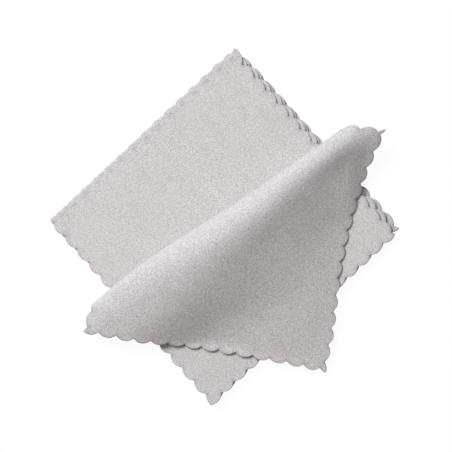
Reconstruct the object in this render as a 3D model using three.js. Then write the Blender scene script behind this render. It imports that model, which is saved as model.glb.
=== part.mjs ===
// Five square applicator towels of thin suede-like cloth with scalloped edges: four lie flat
// on each other as a stack, and the fifth lies on them, folded loosely along its diagonal.
// Units are millimetres, Z is up, the stack's edges run along X and Y to within a degree, and
// the origin is the middle of the bottom towel's underside.
import * as THREE from "three";

// One towel, the same cut for all five
const notchSpanX = 98.4; // between the lines through the notches of the two edges along Y
const notchSpanY = 96.8; // the same for the two edges along X
const clothThickness = 0.6;
const scallopPitchX = 6.76; // from notch to notch on the edges that run along X
const scallopPitchY = 6.96; // the same on the edges that run along Y
const scallopRise = 1.45; // from the line through the notches out to a scallop's crest

// The stack
const layerGap = 0.3; // air between two towels that lie on each other
// One row a flat towel, from the bottom up. Shifts are shares of the scallop pitch along the
// same axis. Starts are the shares of a pitch from a corner to the first notch, for the east,
// north, west and south edge, each edge taken anticlockwise. Turns are degrees, and so are
// slants, by which a soft towel's corners at the two ends of its longer diagonal are sharper.
const flatTowels = [
  { turn: 0.6, slant: 0.5, shiftShares: [0, 0.05], startShares: [0.29, 0.84, 0.4, 0.24] },
  { turn: -0.1, slant: 1, shiftShares: [-0.06, 0], startShares: [0.77, 0.47, 0.4, 0.41] },
  { turn: -0.1, slant: 1, shiftShares: [-0.24, -0.04], startShares: [0.93, 0.24, 0.64, 0.6] },
  { turn: -0.3, slant: 1.2, shiftShares: [-0.38, -0.08], startShares: [0.07, 0.1, 0.12, 0.76] },
];

// The folded towel's place on the stack
const foldTurn = -10.4; // from X to the line through the two ends of the fold, in degrees
const foldShiftX = -0.6; // from the origin to the middle of that line
const foldShiftY = -1.6;
const foldStartShares = [0.68, 0.38, 0.17, 0.36];

// The folded towel's cross-sections, square to the fold: at its first end, at the quarters of
// its length and at its last end
const crestHeights = [2.5, 11.6, 16.1, 12.9, 11.6]; // from the leaf below to the roll's top
const crestSetbacks = [-5.3, -4.2, -3, 1.3, 5.4]; // from the line through the ends to the crest
const rollReaches = [6.3, 10.2, 9.2, 6.7, 2.3]; // from the crest to the roll's outermost line
const steepestSlopes = [38, 27.3, 23.2, 22.6, 34.4]; // of the upper leaf, in degrees
const steepeningRuns = [20.1, 16.3, 6.3, 3, 5.2]; // from the crest on, until it is that steep
const easingStart = 18.3; // where the upper leaf's slope begins to ease, from the crest on
const easingEnd = 43.5;
const easedSlopeShare = 0.44; // of the steepest slope, left past the easing
const landingSoftness = 0.8; // of the bend with which the upper leaf comes to rest
const leafStepRun = 7; // in which the upper leaf comes down past the edge of the lower one
const drawnInShare = 0.982; // of the cloth's width across the fold, left by the pull along it
const endDraw = -0.6; // by which the last end is drawn along the fold
const leafDraw = 0.9; // the upper leaf's draw toward the last end, in proportion to the distance
const cornerDraw = 2.6; // and in proportion to its square
const drawnWidth = 60; // of the band, from the line through the ends, over which it grows
const cornerSag = 1.7; // by which the free corner hangs down past the edge of the stack

// Facets
const scallopSteps = 5;
const rollStrips = 11; // strips round the roll
const upperLeafStrips = 17; // from the crest to the free corner
const lowerLeafStripWidth = 7; // about, of the strips where the lower leaf lies flat
const flatTowelStripWidth = 12; // about, of the flat towels' strips
const columnSpacing = 21; // between the columns across the strips
const columnMargin = 3.4; // least distance from a column to the outline
const lineMargin = 0.03; // least distance from a point of the outline to a line along a strip
const profileSteps = 64; // points of a cross-section round the roll
const leafSteps = 160; // and along the upper leaf
const leafStride = 0.6; // from point to point there

const flatColour = 0xd0cdcc;
const foldedColour = 0xc4bfbe;
const clothRoughness = 0.95;

const layerPitch = clothThickness + layerGap;
const stackTop = flatTowels.length * layerPitch - layerGap;
const degrees = THREE.MathUtils.DEG2RAD;

// Outline of a towel

// The points of an arc round a centre, anticlockwise, without the last one.
function arcPoints(centre, from, to, fullAngle) {
  const radius = from.distanceTo(centre);
  const start = from.clone().sub(centre).angle();
  const sweep = (to.clone().sub(centre).angle() - start + 2 * Math.PI) % (2 * Math.PI);
  const steps = Math.max(2, Math.round((scallopSteps * sweep) / fullAngle));
  return Array.from({ length: steps }, (_, i) => {
    const angle = start + (sweep * i) / steps;
    return new THREE.Vector2(Math.cos(angle), Math.sin(angle)).multiplyScalar(radius).add(centre);
  });
}

// Where two circles cross, farther from the towel's middle.
function outerCrossing(a, radiusA, b, radiusB) {
  const line = b.clone().sub(a);
  const apart = line.length();
  const along = (apart ** 2 + radiusA ** 2 - radiusB ** 2) / (2 * apart);
  const aside = Math.sqrt(radiusA ** 2 - along ** 2);
  const foot = line.clone().multiplyScalar(along / apart).add(a);
  const offset = new THREE.Vector2(-line.y, line.x).multiplyScalar(aside / apart);
  const crossings = [foot.clone().add(offset), foot.clone().sub(offset)];
  return crossings.sort((p, q) => q.length() - p.length())[0];
}

// An edge of the towel: scallop k runs from notch k to notch k + 1, and the scallops before
// the first notch and past the last one run on over the corners.
function scallopedEdge(index, startShare) {
  const runsAlongY = index % 2 === 0;
  const pitch = runsAlongY ? scallopPitchY : scallopPitchX;
  const length = runsAlongY ? notchSpanY : notchSpanX;
  const out = (runsAlongY ? notchSpanX : notchSpanY) / 2;
  const turn = (index * Math.PI) / 2;
  const place = (outward, along) =>
    new THREE.Vector2(outward, along - length / 2).rotateAround(new THREE.Vector2(), turn);
  const first = startShare * pitch;
  const radius = (pitch ** 2 / 4 + scallopRise ** 2) / (2 * scallopRise);
  return {
    radius,
    count: Math.floor((length - first) / pitch),
    fullAngle: 2 * Math.asin(pitch / 2 / radius),
    notch: (k) => place(out, first + k * pitch),
    centre: (k) => place(out + scallopRise - radius, first + (k + 1 / 2) * pitch),
  };
}

function towelOutline(startShares) {
  const edges = startShares.map((share, index) => scallopedEdge(index, share));
  const tips = edges.map((edge, index) => {
    const next = edges[(index + 1) % edges.length];
    return outerCrossing(edge.centre(edge.count), edge.radius, next.centre(-1), next.radius);
  });
  return edges.flatMap((edge, index) => {
    const firstTip = tips[(index + edges.length - 1) % edges.length];
    const stops = [firstTip];
    for (let k = 0; k <= edge.count; k += 1) stops.push(edge.notch(k));
    stops.push(tips[index]);
    return stops.slice(1).flatMap((to, k) =>
      arcPoints(edge.centre(k - 1), stops[k], to, edge.fullAngle),
    );
  });
}

// A towel is worked on in diagonal coordinates: x from the south-west toward the north-east
// corner, y from the south-east toward the north-west one. It is cut into strips along y, so
// that it can be folded there, and each of its points is then carried to its place.

const across = new THREE.Vector2(notchSpanY, notchSpanX).normalize();
const along = new THREE.Vector2(-across.y, across.x);

// The outline's two sides, from the corner with the least x to the one with the most. Where a
// scallop's steep end would run back, it is drawn straight along y.
function diagonalSides(startShares) {
  const outline = towelOutline(startShares).map(
    (p) => new THREE.Vector2(p.dot(across), p.dot(along)),
  );
  const farthest = (value) =>
    outline.reduce((best, p, i) => (value(p) > value(outline[best]) ? i : best), 0);
  const side = (from, to, step) => {
    const points = [];
    for (let i = from; i !== to; i = (i + step + outline.length) % outline.length) {
      const x = Math.max(outline[i].x, points.at(-1)?.x ?? -Infinity);
      points.push(new THREE.Vector2(x, outline[i].y));
    }
    return [...points, outline[to]];
  };
  const least = farthest((p) => -p.x);
  const most = farthest((p) => p.x);
  return {
    low: side(least, most, 1),
    high: side(least, most, -1),
    leastX: outline[least].x,
    mostX: outline[most].x,
    leastY: outline[farthest((p) => -p.y)].y,
    mostY: outline[farthest((p) => p.y)].y,
  };
}

// The stretch of a side between two lines across the towel, ends included. A point of the
// outline that all but lies on a line is left out.
function sideBetween(side, from, to) {
  const at = (x) => {
    const i = side.findIndex((p, k) => k > 0 && p.x >= x);
    const [a, b] = [side[i - 1], side[i]];
    return new THREE.Vector2(x, a.y + ((b.y - a.y) * (x - a.x)) / (b.x - a.x));
  };
  const inside = side.filter((p) => p.x > from + lineMargin && p.x < to - lineMargin);
  const start = from <= side[0].x ? side[0] : at(from);
  const end = to >= side.at(-1).x ? side.at(-1) : at(to);
  return [start, ...inside, end];
}

// Triangles of a polygon, each time cutting off the corner with the best shape.
const leastQuality = 1e-4;
function cornerQuality(a, b, c) {
  const sides = a.distanceToSquared(b) + b.distanceToSquared(c) + c.distanceToSquared(a);
  return ((b.x - a.x) * (c.y - a.y) - (b.y - a.y) * (c.x - a.x)) / sides;
}
function cutCorners(polygon) {
  const left = [...polygon];
  const triangles = [];
  while (left.length > 3) {
    let best = -1;
    let bestQuality = leastQuality;
    left.forEach((b, i) => {
      const a = left.at(i - 1);
      const c = left[(i + 1) % left.length];
      const quality = cornerQuality(a, b, c);
      if (quality <= bestQuality) return;
      const inside = (p, q, point) => cornerQuality(p, q, point) > -leastQuality;
      const blocked = left.some(
        (p) => ![a, b, c].includes(p) && inside(a, b, p) && inside(b, c, p) && inside(c, a, p),
      );
      if (blocked) return;
      best = i;
      bestQuality = quality;
    });
    if (best < 0) throw new Error("a strip of a towel crosses itself");
    triangles.push([left.at(best - 1), left[best], left[(best + 1) % left.length]]);
    left.splice(best, 1);
  }
  triangles.push(left);
  return triangles;
}

// The flat towel's triangles, strip by strip between the given lines. A strip is cut at the
// columns that cross it, so that only its two ends at the outline are more than rectangles.
function stripTriangles(sides, lines) {
  const columns = [];
  for (let y = sides.leastY; y < sides.mostY; y += columnSpacing) columns.push(y);
  return lines.slice(1).flatMap((to, k) => {
    const from = lines[k];
    const low = sideBetween(sides.low, from, to);
    const high = sideBetween(sides.high, from, to);
    const between = (x, first, last) =>
      columns
        .filter((y) => y > first.y + columnMargin && y < last.y - columnMargin)
        .map((y) => new THREE.Vector2(x, y));
    const far = between(to, low.at(-1), high.at(-1));
    const near = between(from, low[0], high[0]);
    const crossing = near.filter((p) => far.some((q) => q.y === p.y)).map((p) => p.y);
    const stops = [-Infinity, ...crossing, Infinity];
    return stops.slice(1).flatMap((stop, i) => {
      const within = (p) => p.y >= stops[i] && p.y <= stop;
      const loop = [
        ...(i === 0 ? low : []),
        ...far.filter(within),
        ...(stop === Infinity ? high.reverse() : []),
        ...near.filter(within).reverse(),
      ];
      return cutCorners(loop.filter((p, j) => p.distanceTo(loop.at(j - 1)) > 0));
    });
  });
}

// Lines across the towel: from the last one on to each stop in turn, in so many equal strips.
function spreadLines(start, stops) {
  const lines = [start];
  stops.forEach(({ x, strips }) => {
    const from = lines.at(-1);
    for (let i = 1; i <= strips; i += 1) lines.push(THREE.MathUtils.lerp(from, x, i / strips));
  });
  return lines;
}

// A closed towel with an outer face, an inner face and a rim. place gives the point in space
// of a flat point on the outer (1) or the inner face (0).
function towelMesh(name, colour, triangles, place) {
  const numbers = new Map();
  const flats = [];
  const numberOf = (p) => {
    const key = `${p.x},${p.y}`;
    if (!numbers.has(key)) numbers.set(key, flats.push(p) - 1);
    return numbers.get(key);
  };
  const outer = triangles.map((triangle) => triangle.map(numberOf));
  const count = flats.length;
  const inner = outer.map(([a, b, c]) => [a + count, c + count, b + count]);
  const edges = new Set(outer.flatMap(([a, b, c]) => [`${a},${b}`, `${b},${c}`, `${c},${a}`]));
  const rim = [...edges]
    .map((edge) => edge.split(",").map(Number))
    .filter(([a, b]) => !edges.has(`${b},${a}`))
    .flatMap(([a, b]) => [
      [b, a, a + count],
      [b, a + count, b + count],
    ]);
  const points = [...flats.map((p) => place(p, 1)), ...flats.map((p) => place(p, 0))];
  const geometry = new THREE.BufferGeometry().setFromPoints(points);
  geometry.setIndex([...outer, ...inner, ...rim].flat());
  const finish = new THREE.MeshStandardMaterial({ color: colour, roughness: clothRoughness });
  const mesh = new THREE.Mesh(geometry, finish);
  mesh.name = name;
  return mesh;
}

// Flat towels

function flatTowel({ turn, slant, shiftShares, startShares }, layer) {
  const sides = diagonalSides(startShares);
  const strips = Math.round((sides.mostX - sides.leastX) / flatTowelStripWidth);
  const lines = spreadLines(sides.leastX, [{ x: sides.mostX, strips }]);
  const lean = Math.tan((slant * degrees) / 2);
  const place = (flat, face) => {
    const x = flat.x * across.x + flat.y * along.x;
    const y = flat.x * across.y + flat.y * along.y;
    return new THREE.Vector3(x + y * lean, y + x * lean, face * clothThickness);
  };
  const triangles = stripTriangles(sides, lines);
  const mesh = towelMesh(`flat_towel_${layer + 1}`, flatColour, triangles, place);
  mesh.rotation.z = turn * degrees;
  mesh.position.set(
    shiftShares[0] * scallopPitchX,
    shiftShares[1] * scallopPitchY,
    layer * layerPitch,
  );
  return mesh;
}

// Folded towel

const folded = diagonalSides(foldStartShares);

// A smooth curve through values at equal steps.
function blend(values, share) {
  const stops = values.map((value) => new THREE.Vector2(value, 0));
  return new THREE.SplineCurve(stops).getPoint(share).x;
}

// The height at which a leaf rests that would fall to one height but is held up at another.
function softMaximum(fallen, held) {
  return (fallen + held + Math.hypot(fallen - held, landingSoftness)) / 2;
}

// A cross-section of the fold at a place along it: its points as (across, up) from the hidden
// corner round the roll to the free corner, and how far along the cloth each of them lies.
function crossSection(y) {
  const share = THREE.MathUtils.clamp((y - folded.leastY) / (folded.mostY - folded.leastY), 0, 1);
  const height = blend(crestHeights, share);
  const setback = blend(crestSetbacks, share);
  const reach = blend(rollReaches, share);
  const steepestSlope = blend(steepestSlopes, share) * degrees;
  const steepeningRun = blend(steepeningRuns, share);
  const leafWidth = Math.max(0, Math.min(y - folded.leastY, folded.mostY - y));

  const roll = [];
  for (let i = 0; i <= profileSteps; i += 1) {
    const angle = (Math.PI * (profileSteps - i)) / profileSteps;
    const up = (height / 2) * (1 + Math.cos(angle));
    roll.push(new THREE.Vector2(-setback - reach * Math.sin(angle), up));
  }
  const rollLength = roll.slice(1).reduce((sum, p, i) => sum + p.distanceTo(roll[i]), 0);
  const leafEnd = leafWidth - rollLength - setback - Math.max(0, setback);
  const leafTop = (x) =>
    layerPitch * (1 - THREE.MathUtils.smoothstep(x, leafEnd, leafEnd + leafStepRun));

  const points = [new THREE.Vector2(2 * folded.mostX, 0), ...roll];
  const falling = roll.at(-1).clone();
  for (let i = 0; i < leafSteps; i += 1) {
    const walked = (i + 1 / 2) * leafStride;
    const easing = THREE.MathUtils.smoothstep(walked, easingStart, easingEnd);
    const slopeShare = THREE.MathUtils.smoothstep(walked, 0, steepeningRun);
    const slope = steepestSlope * slopeShare * THREE.MathUtils.lerp(1, easedSlopeShare, easing);
    falling.x += leafStride * Math.cos(slope);
    falling.y -= leafStride * Math.sin(slope);
    points.push(new THREE.Vector2(falling.x, softMaximum(falling.y, leafTop(falling.x))));
  }

  const distances = [0];
  for (let i = 1; i < points.length; i += 1)
    distances.push(distances[i - 1] + points[i].distanceTo(points[i - 1]));
  // The towel's own diagonal lies where the upper leaf crosses the line through the ends, or on
  // the crest where that is past the line.
  const crest = profileSteps + 1;
  const next = points.findIndex((p, i) => i > crest && p.x >= 0);
  const last = points[next - 1];
  const share0 = Math.max(0, last.x / (last.x - points[next].x));
  const zero = THREE.MathUtils.lerp(distances[next - 1], distances[next], share0);
  return { points, distances: distances.map((d) => d - zero) };
}

// The point of a cross-section at a distance along the cloth from the line through the ends.
function sectionPoint({ points, distances }, distance) {
  let i = 1;
  while (i < points.length - 1 && distances[i] < distance) i += 1;
  const share = (distance - distances[i - 1]) / (distances[i] - distances[i - 1]);
  return points[i - 1].clone().lerp(points[i], share);
}

// How far the cloth is drawn along the fold.
function draw(flat) {
  const share = (flat.y - folded.leastY) / (folded.mostY - folded.leastY);
  const outShare = THREE.MathUtils.clamp(flat.x / drawnWidth, 0, 1);
  return endDraw * share ** 3 * (1 - outShare) + (leafDraw + cornerDraw * outShare) * outShare;
}

// Where a flat point lies in the fold, before the free corner sags.
const tangentStep = clothThickness / 2;
const foldAxis = new THREE.Vector3(0, 0, 1);
const foldPlace = new THREE.Vector3(foldShiftX, foldShiftY, stackTop + layerGap);
function rolledPoint(flat, face) {
  const section = crossSection(flat.y);
  const distance = flat.x * drawnInShare;
  const middle = sectionPoint(section, distance);
  const tangent = sectionPoint(section, distance + tangentStep)
    .sub(sectionPoint(section, distance - tangentStep))
    .normalize();
  const offset = (face - 1 / 2) * clothThickness;
  return new THREE.Vector3(
    flat.y + draw(flat),
    tangent.y * offset - middle.x,
    middle.y + tangent.x * offset + clothThickness / 2,
  )
    .applyAxisAngle(foldAxis, foldTurn * degrees)
    .add(foldPlace);
}

const stackEdge = -notchSpanY / 2;
const freeCorner = folded.low.at(-1);
const cornerOverhang = stackEdge - rolledPoint(freeCorner, 1).y;
function foldedPoint(flat, face) {
  const point = rolledPoint(flat, face);
  const overhang = Math.max(0, stackEdge - point.y);
  point.z -= cornerSag * (overhang / cornerOverhang) ** 2;
  return point;
}

function foldedTowel() {
  const { distances } = crossSection((folded.leastY + folded.mostY) / 2);
  const rollStart = distances[1];
  const crest = distances[profileSteps + 1];
  const lowerLeafStrips = Math.round((rollStart - folded.leastX) / lowerLeafStripWidth);
  const lines = spreadLines(folded.leastX, [
    { x: rollStart, strips: lowerLeafStrips },
    { x: crest, strips: rollStrips },
    { x: folded.mostX, strips: upperLeafStrips },
  ]);
  return towelMesh("folded_towel", foldedColour, stripTriangles(folded, lines), foldedPoint);
}

const towels = new THREE.Group();
towels.add(...flatTowels.map(flatTowel), foldedTowel());

export default towels;
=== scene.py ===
import math

import bmesh
import bpy
import numpy as np
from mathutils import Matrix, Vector


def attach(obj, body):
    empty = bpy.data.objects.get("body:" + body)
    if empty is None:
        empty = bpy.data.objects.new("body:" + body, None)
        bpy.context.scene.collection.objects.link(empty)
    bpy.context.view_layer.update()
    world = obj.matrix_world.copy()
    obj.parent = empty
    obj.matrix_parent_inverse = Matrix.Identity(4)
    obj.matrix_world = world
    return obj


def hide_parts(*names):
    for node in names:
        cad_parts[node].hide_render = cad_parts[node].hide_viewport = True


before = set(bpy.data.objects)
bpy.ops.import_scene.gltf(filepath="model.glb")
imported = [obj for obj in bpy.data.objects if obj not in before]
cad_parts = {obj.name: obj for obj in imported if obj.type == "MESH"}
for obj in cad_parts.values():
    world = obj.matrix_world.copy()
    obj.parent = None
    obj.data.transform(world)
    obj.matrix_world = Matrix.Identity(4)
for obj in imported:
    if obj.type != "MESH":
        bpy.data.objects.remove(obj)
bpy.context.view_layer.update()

# Five applicator towels: four laid flat in a stack, and one folded loosely on top of them
# Lengths are in millimetres and angles in degrees, unless a comment says otherwise
METRE = 1000

# The cut of every towel and how the towels lie on each other, as in the CAD model
SPAN_X, SPAN_Y = 98.4, 96.8  # between notch lines
PITCH_X, PITCH_Y, RISE = 6.76, 6.96, 1.45  # of a scallop
THICK, GAP = 0.6, 0.3  # of the cloth, and between two towels
LAYER = THICK + GAP
NE, NW, SW, SE = (1, 1), (-1, 1), (-1, -1), (1, -1)

# The flat towels from the bottom up: turn, slant and shift; for the east, north, west and south
# edges where the first notch lies as a share of the pitch, and the pitch itself; how far the
# north-east, north-west, south-west and south-east tips are stretched; and where the cloth is
# pulled: the corner, the pull and how far it reaches
FLAT = [
    dict(turn=0.57, slant=0.46, shift=(-0.05, 0.34),
         starts=(0.21, 0.946, 0.3, 0.243), pitches=(7.04, 6.66, 7.06, 6.76),
         tips=((-0.9, -0.9), (0, 0), (0, 0), (-0.6, 0.8)), pulls=[(SE, (-0.6, -0.9), 5)]),
    dict(turn=-0.06, slant=1.04, shift=(-0.38, -0.01),
         starts=(0.58, 0.572, 0.3, 0.405), pitches=(7.01, 6.67, 7.06, 6.76),
         tips=((-1.0, -1.0), (0.5, 0.0), (0, 0), (-0.9, 0.9)),
         pulls=[(SE, (-1.6, 0.8), 4), (NE, (-0.8, -0.7), 4)]),
    dict(turn=-0.13, slant=1.03, shift=(-1.0, -0.3),
         starts=(0.645, 0.319, 0.54, 0.698), pitches=(7.10, 6.6, 7.06, 6.76),
         tips=((-1.0, -1.0), (0.4, 0.3), (0, 0), (-0.9, 0.9)),
         pulls=[(SE, (-1.3, 0.5), 4), (NE, (-0.8, -0.7), 4), (NW, (-1.0, 0.0), 18)]),
    dict(turn=-0.26, slant=1.18, shift=(-2.55, -0.54),
         starts=(0.105, 0.308, 0.016, 0.76), pitches=(7.0, 6.57, 7.14, 6.76),
         tips=((1.7, 0.87), (0.5, 0.2), (-0.1, -0.6), (0, 0)), pulls=[]),
]
STACK_TOP = len(FLAT) * LAYER - GAP
SETTLED = 0.989  # share of its cut length that a soft flat towel has along y
# The towels, counted from 0, whose east edge droops on to the towel below; how far; and where the
# droop begins and ends, from the east notch line
DROOPING, EAST_DROOP, EAST_DROOP_RUN = (1, 2), 0.22, (-2.0, 0.3)

# The folded towel's turn and shift, and where the first notch of each edge lies
FOLD_TURN, FOLD_SHIFT, FOLD_STARTS = -10.52, (-0.78, -1.77), (0.696, 0.399, 0.189, 0.352)
# Its form at seven places from the first end of its fold to the last: the height of the crest,
# how far it sits back from the line through the ends, how far the roll reaches past the crest,
# and the upper leaf's slope at distances from the crest
STATIONS = (0, 0.2, 0.4, 0.6, 0.8, 0.9, 1)
CREST = (2.5, 9.2, 15.1, 15.1, 11.2, 9.0, 6.2)
SETBACK = (-5.0, -4.4, -3.4, -1.7, 2.4, 3.8, 4.4)
REACH = (5.9, 9.6, 9.9, 8.5, 5.9, 5.3, 7.2)
DISTANCES = (0, 3, 6, 10, 16, 24, 32, 40, 56, 72)
SLOPES = (
    (0, 4, 5, 6, 18, 30, 25, 15, 6, -6),
    (1, 6, 9, 15, 25, 30, 20, 10, 10, -9),
    (0, 9, 17, 23, 26, 26, 18, 9, 9, -12),
    (2, 17, 24, 26, 23, 20, 16, 11, 7, -12),
    (4, 24, 29, 26, 24, 22, 13, 11, 8, -9),
    (5, 27, 30, 24, 19, 21, 15, 11, 7, -8),
    (-14, -2, 14, 24, 27, 25, 15, 11, 6, -7),
)
# What stretching and settling do to the cloth: its width across the fold at the first end, the
# middle and the last end, and how far it moves along the fold at five even places, for the cloth
# on the line through the ends, halfway to the free corner, and at the corner
WIDTHS = (0.976, 0.981, 0.942)
DRAWS = (
    (-0.5, 0.2, -1.4, -1.7, 2.6),
    (1.0, 1.9, 0.7, 0.1, 2.6),
    (2.6, 3.8, 3.5, 4.1, 7.9),
)
CORNER_OUT = 60.0  # from the line through the ends to the corner
LEAF_STEP = 10.0  # over which the upper leaf comes down from the lower leaf to the stack
LANDING_SOFTNESS = 0.5  # of the bend where the upper leaf comes to lie on what is under it
CREST_RUN = 6  # over which the leaf's start is brought back to the crest's height
# How far the folded towel sinks
CORNER_SAG, CORNER_SAG_RUN = 1.21, 24  # at this distance past the stack's south edge
EAST_SAG, EAST_SAG_RUN = 0.9, (44.5, 56)  # between these x in the frame, about its east edge
EDGE_DIP, EDGE_DIP_RUN = 1.6, 11  # at the upper leaf's cut edge, and from how far inside it
EDGE_DIP_Y, EDGE_DIP_SPREAD = 55, 6.5  # where along the fold that is, and how widely
# The upper leaf's margin is up on the first end's side and down on the last end's side. The runs
# are where that changes, and where the margin begins and is full, from its cut edge and by x
MARGIN_UP, MARGIN_CHANGE, MARGIN_CHANGE_Y = 0.24, 0.5, (-5, 15)
MARGIN_RUN, MARGIN_X = (-3.5, -0.5), (8, 16)
FREE_X = (-6, 12)  # over which the upper leaf gets waves of its own

# Waves in the cloth: height, length and seed
STACK_WAVES = ((0.10, 31, 3), (0.05, 13, 5))
LEAF_WAVES = ((0.08, 17, 41), (0.04, 8, 43))
OWN_WAVE, OWN_WAVE_LENGTH, OWN_WAVE_SEED = 0.03, 7, 20  # of each flat towel
WAVE_SHARE, WAVE_SHARE_RISE = 0.4, 0.2  # of the stack's waves, in the lowest towel and per towel

# How fine the meshes are, and their cut edges
SCALLOP_STEPS, LEAST_STEPS = 28, 3  # round a full scallop, and round the smallest part of one
END_INSET, LEAST_ROW_GAP = 0.02, 0.12
EDGE, EDGE_SHARE = 0.34, 0.2  # from the cut edge to the full thickness, at most this share of the row
EDGE_FULLNESS = 0.45
RIM_SHADES = (0.55, 0.25, 0.08)  # how much of the darker edge colour shows, from the cut edge inward
NOTCH_SPREAD = 0.8  # in square millimetres, of the painted shade round a notch, where its slit lies in shade
ROLL_HIGHLIGHT_X, ROLL_HIGHLIGHT_WIDTH = -4.5, 6.5  # where a paler, cooler highlight is painted along the roll
NORMAL_STEP = 0.15
MAP_SIDE = 160  # of the square that the UV map covers
MERGE_DISTANCE = 1.2e-5  # in metres
STEP, ROLL_POINTS = 0.25, 161  # between points of the upper leaf's section, and in the roll's
TABLE_ROWS, TABLE_STEP, TABLE_MARGIN_X, TABLE_MARGIN_Y = 361, 0.2, 3, 1
TABLE_END = 1.001  # keeps the next entry inside the table


# Smooth noise, the same on every run, from an integer hash
HASH_X, HASH_Y, HASH_SEED, HASH_MIX = 374761393, 668265263, 974711, 1274126177
LOW_32_BITS, LOW_16_BITS = 0xFFFFFFFF, 0xFFFF


def lattice(ix, iy, seed):
    """A value from -1 to 1 for each whole place."""
    h = (ix.astype(np.int64) * HASH_X + iy.astype(np.int64) * HASH_Y + seed * HASH_SEED) & LOW_32_BITS
    h = ((h ^ (h >> 13)) * HASH_MIX) & LOW_32_BITS
    return ((h ^ (h >> 16)) & LOW_16_BITS) / (LOW_16_BITS / 2) - 1.0


def noise(x, y, size, seed):
    """Smooth values from -1 to 1 that change over about size millimetres."""
    u, v = np.asarray(x, float) / size, np.asarray(y, float) / size
    iu, iv = np.floor(u), np.floor(v)
    su, sv = (w * w * w * (w * (w * 6 - 15) + 10) for w in (u - iu, v - iv))
    a, b = lattice(iu, iv, seed), lattice(iu + 1, iv, seed)
    c, d = lattice(iu, iv + 1, seed), lattice(iu + 1, iv + 1, seed)
    return (a * (1 - su) + b * su) * (1 - sv) + (c * (1 - su) + d * su) * sv


def waves(x, y, rows):
    return sum(height * noise(x, y, length, seed) for height, length, seed in rows)


# Curves
def smoothstep(x, a, b):
    t = np.clip((x - a) / (b - a), 0, 1)
    return t * t * (3 - 2 * t)


def smooth_max(a, b, soft):
    return (a + b + np.sqrt((a - b) ** 2 + soft * soft)) / 2


def spline(knots, values, at):
    """The natural cubic spline through values at knots, with one row for each place in at."""
    k, v = np.asarray(knots, float), np.asarray(values, float)
    v = v.reshape(len(k), -1)
    h, n = np.diff(k), len(k)
    m = np.eye(n)
    r = np.zeros_like(v)
    for i in range(1, n - 1):
        m[i, i - 1: i + 2] = h[i - 1], 2 * (h[i - 1] + h[i]), h[i]
        r[i] = 6 * ((v[i + 1] - v[i]) / h[i] - (v[i] - v[i - 1]) / h[i - 1])
    c = np.linalg.solve(m, r)
    at = np.atleast_1d(np.asarray(at, float))
    i = np.clip(np.searchsorted(k, at) - 1, 0, n - 2)
    a, b = (k[i + 1] - at)[:, None], (at - k[i])[:, None]
    w = h[i][:, None]
    bend = (c[i] * a**3 + c[i + 1] * b**3) / (6 * w)
    return bend + (v[i] / w - c[i] * w / 6) * a + (v[i + 1] / w - c[i + 1] * w / 6) * b


# Outline of a towel: scallops between notches, anticlockwise from the south-east corner
EDGES_FACE = ((1, 0), (0, 1), (-1, 0), (0, -1))  # east, north, west and south


def edge_of(index, start, pitch):
    """The circles and notches of one edge's scallops."""
    along_y = index % 2 == 0
    length = SPAN_Y if along_y else SPAN_X
    out = (SPAN_X if along_y else SPAN_Y) / 2
    facing = np.array(EDGES_FACE[index])
    onward = np.array([-facing[1], facing[0]])
    radius = (pitch**2 / 4 + RISE**2) / (2 * RISE)
    first = start * pitch

    def place(outward, along):
        return facing * outward + onward * (along - length / 2)

    return dict(
        radius=radius,
        count=math.floor((length - first) / pitch),
        full=2 * math.asin(pitch / 2 / radius),
        notch=lambda k: place(out, first + k * pitch),
        centre=lambda k: place(out + RISE - radius, first + (k + 0.5) * pitch),
    )


def outer_crossing(a, a_radius, b, b_radius):
    """Where two circles cross, on the side away from the towel's middle."""
    line = b - a
    apart = np.linalg.norm(line)
    along = (apart**2 + a_radius**2 - b_radius**2) / (2 * apart)
    aside = math.sqrt(max(a_radius**2 - along**2, 0))
    foot = a + line * along / apart
    off = np.array([-line[1], line[0]]) * aside / apart
    return max((foot + off, foot - off), key=np.linalg.norm)


def outline_of(starts, pitches, tip_moves):
    """The outline's points, and which of them are notches or corner tips."""
    edges = [edge_of(i, start, pitch) for i, (start, pitch) in enumerate(zip(starts, pitches))]
    moves = np.array(tip_moves, float)
    tips = []
    for edge, after in zip(edges, edges[1:] + edges[:1]):
        tips.append(outer_crossing(edge["centre"](edge["count"]), edge["radius"],
                                   after["centre"](-1), after["radius"]))
    points, keys = [], []
    for i, edge in enumerate(edges):
        stops = [tips[i - 1]] + [edge["notch"](k) for k in range(edge["count"] + 1)] + [tips[i]]
        last = len(stops) - 2
        for k, (a, b) in enumerate(zip(stops[:-1], stops[1:])):
            middle = edge["centre"](k - 1)
            first_angle = math.atan2(*(a - middle)[::-1])
            sweep = (math.atan2(*(b - middle)[::-1]) - first_angle) % (2 * math.pi)
            n = max(LEAST_STEPS, round(SCALLOP_STEPS * sweep / edge["full"]))
            for j in range(n):
                t = first_angle + sweep * j / n
                move = moves[i - 1] * (1 - j / n) * (k == 0) + moves[i] * (j / n) * (k == last)
                points.append(middle + edge["radius"] * np.array([math.cos(t), math.sin(t)]) + move)
                keys.append(j == 0)
    return np.array(points), np.array(keys)


# Places on the cut cloth: x across its diagonal, toward the north-east corner, and y along it
ACROSS = np.array([SPAN_Y, SPAN_X]) / math.hypot(SPAN_X, SPAN_Y)
ALONG = np.array([-ACROSS[1], ACROSS[0]])


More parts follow.
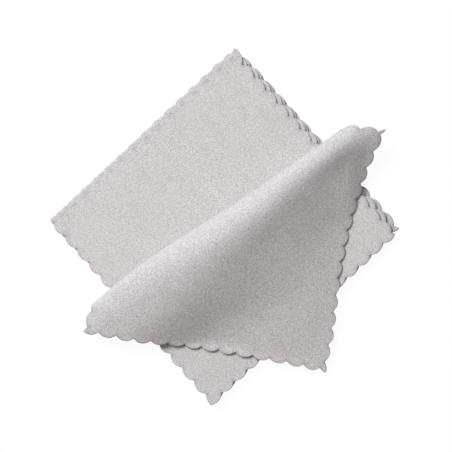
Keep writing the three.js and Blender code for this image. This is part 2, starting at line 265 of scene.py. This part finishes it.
def sides_of(starts, pitches=(PITCH_Y, PITCH_X, PITCH_Y, PITCH_X), tip_moves=((0, 0),) * 4):
    """The outline's two sides from the least x to the most, and what is measured on it."""
    points, keys = outline_of(starts, pitches, tip_moves)
    d = np.stack([points @ ACROSS, points @ ALONG], 1)
    least, most = int(d[:, 0].argmin()), int(d[:, 0].argmax())

    def side(step):
        ids = [least]
        while ids[-1] != most:
            ids.append((ids[-1] + step) % len(d))
        line = d[ids]
        line[:, 0] = np.maximum.accumulate(line[:, 0])
        return line, keys[ids]

    low, low_keys = side(1)
    high, high_keys = side(-1)
    turns = np.cross(d - np.roll(d, 1, 0), np.roll(d, -1, 0) - d)
    twice_area = np.sum(d[:, 0] * np.roll(d[:, 1], -1) - d[:, 1] * np.roll(d[:, 0], -1))
    return dict(
        low=low, high=high, key_x=np.sort(np.concatenate([low[low_keys, 0], high[high_keys, 0]])),
        least_x=d[least, 0], most_x=d[most, 0], least_y=d[:, 1].min(), most_y=d[:, 1].max(),
        area=abs(twice_area) / 2, notches=d[keys & (turns < 0)],
    )


# A towel's mesh: each row has one x, and its columns go from one side of the outline to the other
def rows_of(sides, row_gap):
    """The x of each row, with a row at every notch or tip that isn't too near another."""
    stops, end = [sides["least_x"] + END_INSET], sides["most_x"] - END_INSET
    for k in sides["key_x"]:
        if stops[-1] + LEAST_ROW_GAP < k < end - LEAST_ROW_GAP:
            stops.append(float(k))
    stops.append(end)
    rows = []
    for a, b in zip(stops[:-1], stops[1:]):
        n = max(1, math.ceil((b - a) / row_gap))
        rows += [a + (b - a) * i / n for i in range(n)]
    return np.array(rows + [end])


def grid_of(sides, row_gap, columns, crowd):
    """The grid's places on the cut cloth, how full the cloth is there, and how much darker edge colour and
    painted notch shade shows.
    """
    rows = rows_of(sides, row_gap)
    low = np.interp(rows, sides["low"][:, 0], sides["low"][:, 1])
    high = np.interp(rows, sides["high"][:, 0], sides["high"][:, 1])
    width = high - low
    inset = np.minimum(EDGE, width * EDGE_SHARE)
    u = np.linspace(0, 1, columns - 2)
    u = (1 - crowd) * u + crowd * (1 - np.cos(math.pi * u)) / 2
    inner = (low + inset)[:, None] + (width - 2 * inset)[:, None] * u[None, :]
    y = np.concatenate([low[:, None], inner, high[:, None]], 1)
    x = np.repeat(rows[:, None], columns, 1)
    fullness = np.ones_like(x)
    fullness[:, [0, -1]] = EDGE_FULLNESS
    fullness[[0, -1], :] = EDGE_FULLNESS
    notch_and_edge_shade = np.zeros_like(x)
    for column, shade in enumerate(RIM_SHADES):
        notch_and_edge_shade[:, [column, -1 - column]] = shade
    # painted shade round each notch, where the slit between the scallops lies in shade
    for kx, ky in sides["notches"]:
        notch_and_edge_shade = np.maximum(notch_and_edge_shade, np.exp(-(((x - kx) ** 2 + (y - ky) ** 2) / NOTCH_SPREAD)))
    return x, y, fullness, notch_and_edge_shade


def sheet_faces(rows, columns):
    """The quads of a closed sheet: its upper face, its lower face and the band between them."""
    lower = rows * columns
    ids = np.arange(lower).reshape(rows, columns)
    upper_face = np.stack([ids[:-1, :-1], ids[1:, :-1], ids[1:, 1:], ids[:-1, 1:]], -1).reshape(-1, 4)
    loop = np.concatenate([ids[:, 0], ids[-1, 1:], ids[-2::-1, -1], ids[0, -2:0:-1]])
    after = np.roll(loop, -1)
    band = np.stack([after, loop, loop + lower, after + lower], -1)
    return np.concatenate([upper_face, upper_face[:, ::-1] + lower, band])


def add_map(mesh, x, y):
    """A UV map with each point where it lies on the cut cloth."""
    flat = np.concatenate([np.stack([x, y], -1).reshape(-1, 2)] * 2) / MAP_SIDE + 0.5
    corners = np.zeros(len(mesh.loops), np.int32)
    mesh.loops.foreach_get("vertex_index", corners)
    uv_layer = mesh.uv_layers.new(name="UVMap")
    uv_layer.data.foreach_set("uv", flat[corners].astype(np.float32).ravel())


def add_values(mesh, name, values):
    """The same values on both faces, for the material to read."""
    attribute = mesh.attributes.new(name, "FLOAT", "POINT")
    attribute.data.foreach_set("value", np.concatenate([values.ravel()] * 2).astype(np.float32))


def clean(mesh):
    """Join the points that meet at the sheet's ends, and turn every face outward."""
    bm = bmesh.new()
    bm.from_mesh(mesh)
    bmesh.ops.remove_doubles(bm, verts=bm.verts, dist=MERGE_DISTANCE)
    bmesh.ops.recalc_face_normals(bm, faces=bm.faces)
    bm.to_mesh(mesh)
    bm.free()


def cloth_piece(name, sides, middle, row_gap, columns, crowd=0.0):
    """A closed sheet from a map of the cut cloth to the middle of the cloth's thickness."""
    x, y, fullness, notch_and_edge_shade = grid_of(sides, row_gap, columns, crowd)
    mid = middle(x, y)
    du = middle(x + NORMAL_STEP, y) - middle(x - NORMAL_STEP, y)
    dv = middle(x, y + NORMAL_STEP) - middle(x, y - NORMAL_STEP)
    normal = np.cross(du, dv)
    normal /= np.linalg.norm(normal, axis=-1, keepdims=True)
    half = (THICK / 2) * fullness[..., None]
    points = np.concatenate([(mid + normal * half).reshape(-1, 3), (mid - normal * half).reshape(-1, 3)])
    mesh = bpy.data.meshes.new(name)
    mesh.from_pydata((points / METRE).tolist(), [], sheet_faces(*x.shape).tolist())
    add_map(mesh, x, y)
    # darker at the cut edge, with painted shade round the notches
    add_values(mesh, "darker_edge_and_notch_shade", notch_and_edge_shade)
    # painted highlight along the roll, where the lamp lights it
    add_values(mesh, "painted_roll_highlight", np.exp(-(((x - ROLL_HIGHLIGHT_X) / ROLL_HIGHLIGHT_WIDTH) ** 2)))
    mesh.polygons.foreach_set("use_smooth", [True] * len(mesh.polygons))
    mesh.update()
    clean(mesh)
    piece = bpy.data.objects.new(name, mesh)
    bpy.context.scene.collection.objects.link(piece)
    return piece


# Flat towels
def turn_and_lean(row):
    return math.radians(row["turn"]), math.tan(math.radians(row["slant"]) / 2)


def east_share(row, wx, wy):
    """From 0 in a flat towel's middle to 1 near its east edge, at places in the frame."""
    turn, lean = turn_and_lean(row)
    ux, uy = wx - row["shift"][0], wy - row["shift"][1]
    qx = ux * math.cos(turn) + uy * math.sin(turn)
    qy = uy * math.cos(turn) - ux * math.sin(turn)
    return smoothstep(qx - qy * lean - SPAN_X / 2, *EAST_DROOP_RUN)


def flat_middle(row, layer):
    """The map from a flat towel's cut cloth to where it lies."""
    turn, lean = turn_and_lean(row)
    shift_x, shift_y = row["shift"]

    def middle(x, y):
        px, py = x * ACROSS[0] + y * ALONG[0], x * ACROSS[1] + y * ALONG[1]
        pull_x = pull_y = 0
        for (cx, cy), (dx, dy), reach in row["pulls"]:
            near = np.exp(-((px - cx * SPAN_X / 2) ** 2 + (py - cy * SPAN_Y / 2) ** 2) / (2 * reach**2))
            pull_x, pull_y = pull_x + dx * near, pull_y + dy * near
        px, py = px + pull_x, py * SETTLED + pull_y
        qx, qy = px + py * lean, py + px * lean
        wx = qx * math.cos(turn) - qy * math.sin(turn) + shift_x
        wy = qx * math.sin(turn) + qy * math.cos(turn) + shift_y
        shared = waves(wx, wy, STACK_WAVES) * (WAVE_SHARE + WAVE_SHARE_RISE * layer)
        own = OWN_WAVE * noise(px, py, OWN_WAVE_LENGTH, OWN_WAVE_SEED + layer)
        # what lies on a drooping edge droops with it
        droop = EAST_DROOP * sum(east_share(FLAT[k], wx, wy) for k in DROOPING if k <= layer)
        return np.stack([wx, wy, layer * LAYER + THICK / 2 + shared + own - droop], -1)

    return middle


# Folded towel
FOLDED = sides_of(FOLD_STARTS)
LEAST_Y, MOST_Y, MOST_X = FOLDED["least_y"], FOLDED["most_y"], FOLDED["most_x"]


def fold_share(y):
    """Where y lies along the fold, from 0 at the first end to 1 at the last."""
    return (y - LEAST_Y) / (MOST_Y - LEAST_Y)


def section(y):
    """Points from the lower leaf's far end round the roll to the upper leaf, and their distances."""
    share = min(max(fold_share(y), 0), 1)
    height, setback, reach = (float(spline(STATIONS, v, share)[0, 0]) for v in (CREST, SETBACK, REACH))
    slopes = spline(STATIONS, SLOPES, share)[0]
    leaf_width = max(0, min(y - LEAST_Y, MOST_Y - y))
    angle = np.linspace(math.pi, 0, ROLL_POINTS)
    roll = np.stack([-setback - reach * np.sin(angle), height / 2 * (1 + np.cos(angle))], 1)
    roll_length = np.linalg.norm(np.diff(roll, axis=0), axis=1).sum()
    lower_leaf_end = leaf_width - roll_length - setback - max(0, setback)
    t = np.arange(0, DISTANCES[-1], STEP)
    tilt = np.radians(spline(DISTANCES, slopes, t)[:, 0])

    def run(rates):
        return np.concatenate([[0], np.cumsum((rates[1:] + rates[:-1]) / 2 * STEP)])

    x = -setback + run(np.cos(tilt))
    z = height - run(np.sin(tilt))
    rest = LAYER * (1 - smoothstep(x, lower_leaf_end, lower_leaf_end + LEAF_STEP))
    z = smooth_max(z, rest, LANDING_SOFTNESS)
    z = z + (height - z[0]) * np.clip(1 - t / CREST_RUN, 0, 1)
    points = np.concatenate([[[2 * MOST_X, 0]], roll, np.stack([x, z], 1)[1:]])
    distance = np.concatenate([[0], np.cumsum(np.linalg.norm(np.diff(points, axis=0), axis=1))])
    over = distance[len(roll):]
    # distances count from the line through the ends, or from the crest where it is past that line
    zero = over[0] if setback < 0 else np.interp(0, points[len(roll):, 0], over)
    return points, distance - zero


def section_table(xs, ys):
    """The section point for each place on the cut cloth, with its width as it has settled."""
    table = np.zeros((len(ys), len(xs), 2))
    for row, y in enumerate(ys):
        points, distance = section(y)
        settled = xs * spline((0, 0.5, 1), WIDTHS, fold_share(y))[0, 0]
        for axis in range(2):
            table[row, :, axis] = np.interp(settled, distance, points[:, axis])
    return table


TABLE_Y = np.linspace(LEAST_Y - TABLE_MARGIN_Y, MOST_Y + TABLE_MARGIN_Y, TABLE_ROWS)
TABLE_X = np.arange(FOLDED["least_x"] - TABLE_MARGIN_X, MOST_X + TABLE_MARGIN_X, TABLE_STEP)
TABLE = section_table(TABLE_X, TABLE_Y)


def entry_before(at, values):
    """The entry before each place, and the share of the way to the next one."""
    f = np.clip((at - values[0]) / (values[1] - values[0]), 0, len(values) - TABLE_END)
    i = f.astype(int)
    return i, (f - i)[..., None]


def table_point(x, y):
    iy, ty = entry_before(y, TABLE_Y)
    ix, tx = entry_before(x, TABLE_X)
    return (TABLE[iy, ix] * (1 - ty) * (1 - tx) + TABLE[iy, ix + 1] * (1 - ty) * tx
            + TABLE[iy + 1, ix] * ty * (1 - tx) + TABLE[iy + 1, ix + 1] * ty * tx)


def draw(x, y):
    """How far the cloth moves along the fold."""
    places = np.linspace(0, 1, len(DRAWS[0]))
    moves = spline(places, np.transpose(DRAWS), fold_share(y).ravel())
    start, halfway, corner = moves.T.reshape(3, *y.shape)
    out = np.clip(x / CORNER_OUT, 0, 1)
    return start * (1 - out) * (1 - 2 * out) + halfway * 4 * out * (1 - out) + corner * out * (2 * out - 1)


def folded_middle(x, y):
    """The map from the folded towel's cut cloth to where it lies."""
    p = table_point(x, y)
    u, v, z = y + draw(x, y), -p[..., 0], p[..., 1] + THICK / 2
    t = math.radians(FOLD_TURN)
    wx = u * math.cos(t) - v * math.sin(t) + FOLD_SHIFT[0]
    wy = u * math.sin(t) + v * math.cos(t) + FOLD_SHIFT[1]
    south = np.maximum(0, -SPAN_Y / 2 - wy)
    z = z + STACK_TOP + GAP - CORNER_SAG * (south / CORNER_SAG_RUN) ** 2
    z = z - EAST_SAG * smoothstep(wx, *EAST_SAG_RUN)
    inside = x - MOST_X * (1 - np.abs(y) / MOST_Y)  # 0 at the upper leaf's cut edge, less inside it
    near_last_end = np.exp(-(((y - EDGE_DIP_Y) / EDGE_DIP_SPREAD) ** 2))
    z = z - EDGE_DIP * smoothstep(inside, -EDGE_DIP_RUN, 0) * near_last_end
    down = MARGIN_CHANGE * smoothstep(y, *MARGIN_CHANGE_Y) - MARGIN_UP
    z = z - down * smoothstep(inside, *MARGIN_RUN) * smoothstep(x, *MARGIN_X)
    z = z + smoothstep(x, *FREE_X) * waves(x, y, LEAF_WAVES)
    return np.stack([wx, wy, z], -1)


# Helpers for materials
def empty_material(name):
    """A material, its node tree and the tree's output node."""
    material = bpy.data.materials.new(name)
    material.use_nodes = True
    tree = material.node_tree
    tree.nodes.clear()
    return material, tree, tree.nodes.new("ShaderNodeOutputMaterial")


def add_node(tree, kind, values):
    """A node of a kind, with the given values on its sockets."""
    node = tree.nodes.new(kind)
    for socket, value in values.items():
        node.inputs[socket].default_value = value
    return node


def add_mix(tree, blend_type, factor, first, second):
    """A mix of two colours, each a tuple or another node's output, by a number or an output."""
    mix = tree.nodes.new("ShaderNodeMix")
    mix.data_type = "RGBA"
    mix.blend_type = blend_type
    for socket, value in (("Factor", factor), ("A", first), ("B", second)):
        if isinstance(value, tuple):
            mix.inputs[socket].default_value = (*value, 1)
        elif isinstance(value, float):
            mix.inputs[socket].default_value = value
        else:
            tree.links.new(value, mix.inputs[socket])
    return mix.outputs["Result"]


def mul_add(tree, value, factor, add):
    """value times factor plus add, which is a number or another node's output."""
    node = tree.nodes.new("ShaderNodeMath")
    node.operation = "MULTIPLY_ADD"
    tree.links.new(value, node.inputs[0])
    node.inputs[1].default_value = factor
    if isinstance(add, float):
        node.inputs[2].default_value = add
    else:
        tree.links.new(add, node.inputs[2])
    return node.outputs[0]


def point_value(tree, name):
    """A value that the mesh's points carry."""
    node = tree.nodes.new("ShaderNodeAttribute")
    node.attribute_name = name
    return node.outputs["Fac"]


def add_noise(tree, place, scale, detail, roughness, turn=0.0, stretch=None):
    """Noise with a scale per metre, turned by radians and stretched where it has a lay."""
    if stretch:
        mapping = add_node(tree, "ShaderNodeMapping", {"Rotation": (0, 0, turn), "Scale": stretch})
        tree.links.new(place, mapping.inputs["Vector"])
        place = mapping.outputs["Vector"]
    sockets = {"Scale": scale, "Detail": detail, "Roughness": roughness}
    node = add_node(tree, "ShaderNodeTexNoise", sockets)
    tree.links.new(place, node.inputs["Vector"])
    return node.outputs["Fac"]


# Suede-like cloth: its noises, from the finest to the broadest, and how much they shade it
GRAIN = dict(scale=2700, detail=1.0, roughness=0.6)
FUZZ = dict(scale=2200, detail=1.0, roughness=0.6, turn=0.6, stretch=(1, 0.6, 1))
NAP = dict(scale=260, detail=3.0, roughness=0.6, turn=0.9, stretch=(1, 0.35, 1))
CLOUD = dict(scale=55, detail=3.0, roughness=0.5)
FUZZ_PER_GRAIN, NAP_SHARE, CLOUD_SHARE = 0.5, 0.14, 0.08
FUZZ_BUMP = 0.6  # of the grain's
BUMP = {"Strength": 0.35, "Distance": 0.00012}  # the distance is in metres
CLOTH = {
    "Roughness": 0.8,
    "Specular Tint": (0.8, 0.95, 1.0, 1),
    "Sheen Roughness": 0.45,
    "Sheen Tint": (0.85, 0.95, 1.0, 1),
}


def cloth_material(name, colour, edge_shade_colour, roll_highlight_colour, sheen, gloss, grain_share):
    """Cloth that is darker at its cut edge, with painted shade round the notches and a painted highlight
    on the roll.
    """
    material, tree, output = empty_material(name)
    surface = add_node(tree, "ShaderNodeBsdfPrincipled", CLOTH)
    surface.inputs["Specular IOR Level"].default_value = gloss
    surface.inputs["Sheen Weight"].default_value = sheen
    tree.links.new(surface.outputs["BSDF"], output.inputs["Surface"])

    place = tree.nodes.new("ShaderNodeTexCoord").outputs["Object"]
    grain, fuzz, nap, cloud = (add_noise(tree, place, **row) for row in (GRAIN, FUZZ, NAP, CLOUD))
    fuzz_share = grain_share * FUZZ_PER_GRAIN
    # each noise is about a half on average, so with this the shade is about 1 on average
    level = 1 - (grain_share + fuzz_share + NAP_SHARE + CLOUD_SHARE) / 2
    shade = mul_add(tree, nap, NAP_SHARE, mul_add(tree, cloud, CLOUD_SHARE, level))
    shade = mul_add(tree, grain, grain_share, mul_add(tree, fuzz, fuzz_share, shade))
    grey = tree.nodes.new("ShaderNodeCombineColor")
    for channel in grey.inputs:
        tree.links.new(shade, channel)

    # painted highlight: the body is paler and cooler along the roll, where the lamp's highlight falls
    body = add_mix(tree, "MIX", point_value(tree, "painted_roll_highlight"), colour, roll_highlight_colour)
    # darker at the cut edge, and painted shade round the notches
    base = add_mix(tree, "MIX", point_value(tree, "darker_edge_and_notch_shade"), body, edge_shade_colour)
    tone = add_mix(tree, "MULTIPLY", 1.0, base, grey.outputs["Color"])
    tree.links.new(tone, surface.inputs["Base Color"])

    bump = add_node(tree, "ShaderNodeBump", BUMP)
    tree.links.new(mul_add(tree, fuzz, FUZZ_BUMP, grain), bump.inputs["Height"])
    tree.links.new(bump.outputs["Normal"], surface.inputs["Normal"])
    return material


STACK_COLOUR = (0.653, 0.609, 0.604)
stack_cloth = cloth_material(
    "stack_cloth", colour=STACK_COLOUR, edge_shade_colour=(0.42, 0.40, 0.43), roll_highlight_colour=STACK_COLOUR,
    sheen=0.10, gloss=0.12, grain_share=1.15)
# the folded towel's roll gets a paler, cooler painted highlight
fold_cloth = cloth_material(
    "fold_cloth", colour=(0.606, 0.560, 0.554), edge_shade_colour=(0.38, 0.36, 0.385),
    roll_highlight_colour=(0.606, 0.571, 0.582), sheen=0.33, gloss=0.3, grain_share=1.3)

# The five towels
for layer, row in enumerate(FLAT):
    node = f"flat_towel_{layer + 1}"
    sides = sides_of(row["starts"], row["pitches"], row["tips"])
    piece = cloth_piece(f"cloth_{layer + 1}", sides, flat_middle(row, layer),
                        row_gap=0.7, columns=72, crowd=0.6)
    piece.data.materials.append(stack_cloth)
    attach(piece, node)
    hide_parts(node)

folded_piece = cloth_piece("cloth_folded", FOLDED, folded_middle, row_gap=0.5, columns=132)
folded_piece.data.materials.append(fold_cloth)
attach(folded_piece, "folded_towel")
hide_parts("folded_towel")

# The floor, in metres, and how bright it is
FLOOR_HALF, FLOOR_Z = 3, -0.0002
FLOOR_GREY, FLOOR_SHADE, FLOOR_GLOW = 0.80, 0.06, 0.95


def floor_material():
    """White with a faint shadow where it is seen, and grey where it only lights the towels."""
    material, tree, output = empty_material("floor")
    rays = tree.nodes.new("ShaderNodeLightPath").outputs
    seen = rays["Is Camera Ray"]
    for ray in ("Is Glossy Ray", "Is Transmission Ray"):
        either = tree.nodes.new("ShaderNodeMath")
        either.operation = "MAXIMUM"
        tree.links.new(seen, either.inputs[0])
        tree.links.new(rays[ray], either.inputs[1])
        seen = either.outputs[0]
    grey, shade = (add_node(tree, "ShaderNodeBsdfDiffuse", {"Color": (level, level, level, 1)})
                   for level in (FLOOR_GREY, FLOOR_SHADE))
    glow = add_node(tree, "ShaderNodeEmission", {"Color": (1, 1, 1, 1), "Strength": FLOOR_GLOW})
    white = tree.nodes.new("ShaderNodeAddShader")
    for shader, socket in zip((shade, glow), white.inputs):
        tree.links.new(shader.outputs[0], socket)
    mix = tree.nodes.new("ShaderNodeMixShader")
    for source, socket in zip((seen, grey.outputs[0], white.outputs[0]), mix.inputs):
        tree.links.new(source, socket)
    tree.links.new(mix.outputs[0], output.inputs["Surface"])
    return material


floor_mesh = bpy.data.meshes.new("floor")
floor_corners = [(x * FLOOR_HALF, y * FLOOR_HALF, FLOOR_Z) for x, y in (SW, SE, NE, NW)]
floor_mesh.from_pydata(floor_corners, [], [(0, 1, 2, 3)])
floor = bpy.data.objects.new("floor", floor_mesh)
bpy.context.scene.collection.objects.link(floor)
floor_mesh.materials.append(floor_material())

# Light from all round
WORLD_COLOUR, WORLD_STRENGTH = (1.0, 0.915, 0.905, 1), 0.26
world = bpy.data.worlds.new("world")
bpy.context.scene.world = world
world.use_nodes = True
background = world.node_tree.nodes["Background"]
background.inputs["Color"].default_value = WORLD_COLOUR
background.inputs["Strength"].default_value = WORLD_STRENGTH

# A soft square lamp to the north: its distance and side in metres, how strongly it lights a
# horizontal surface, and its azimuth from the y axis toward the x axis
KEY_DISTANCE, KEY_SIDE, KEY_LEVEL, KEY_COLOUR = 1.3, 0.6, 0.75, (0.945, 1.0, 1.015)
KEY_ELEVATION, KEY_AZIMUTH = math.radians(46), math.radians(-0.8)
toward_key = np.array([math.sin(KEY_AZIMUTH) * math.cos(KEY_ELEVATION),
                       math.cos(KEY_AZIMUTH) * math.cos(KEY_ELEVATION),
                       math.sin(KEY_ELEVATION)])
key_data = bpy.data.lights.new("key", "AREA")
key_data.shape = "SQUARE"
key_data.size = KEY_SIDE
key_data.energy = KEY_LEVEL / math.sin(KEY_ELEVATION) * math.pi**2 * KEY_DISTANCE**2
key_data.color = KEY_COLOUR
key = bpy.data.objects.new("key", key_data)
key.location = toward_key * KEY_DISTANCE
key.rotation_euler = Vector(toward_key).to_track_quat("Z", "Y").to_euler()
bpy.context.scene.collection.objects.link(key)

# The camera looks straight down. Measured on the photograph: which way its right side points in
# the frame, the side of a pixel at the stack's top, and the pixel that shows the stack's middle
IMAGE_RIGHT = np.array([0.738, -0.674])
IMAGE_UP = np.array([-IMAGE_RIGHT[1], IMAGE_RIGHT[0]])
IMAGE_SIDE, PIXEL, STACK_PIXEL = 452, 0.4, (223.6, 226.8)
STACK_MIDDLE = np.array([-2.028, -0.278])
CAMERA_HEIGHT, SENSOR, CLIP_START, CLIP_END = 570.0, 36, 0.01, 20  # the clips are in metres
right, down = (IMAGE_SIDE / 2 - pixel for pixel in STACK_PIXEL)
aim = STACK_MIDDLE + right * PIXEL * IMAGE_RIGHT - down * PIXEL * IMAGE_UP
camera_data = bpy.data.cameras.new("camera")
camera_data.sensor_width = SENSOR
camera_data.lens = SENSOR * (CAMERA_HEIGHT - STACK_TOP) / (IMAGE_SIDE * PIXEL)
camera_data.clip_start, camera_data.clip_end = CLIP_START, CLIP_END
camera = bpy.data.objects.new("camera", camera_data)
camera.location = (aim[0] / METRE, aim[1] / METRE, CAMERA_HEIGHT / METRE)
camera.rotation_euler = (0, 0, math.atan2(IMAGE_RIGHT[1], IMAGE_RIGHT[0]))
bpy.context.scene.collection.objects.link(camera)
bpy.context.scene.camera = camera
bpy.context.scene.view_settings.view_transform = "Standard"

bpy.context.view_layer.update()
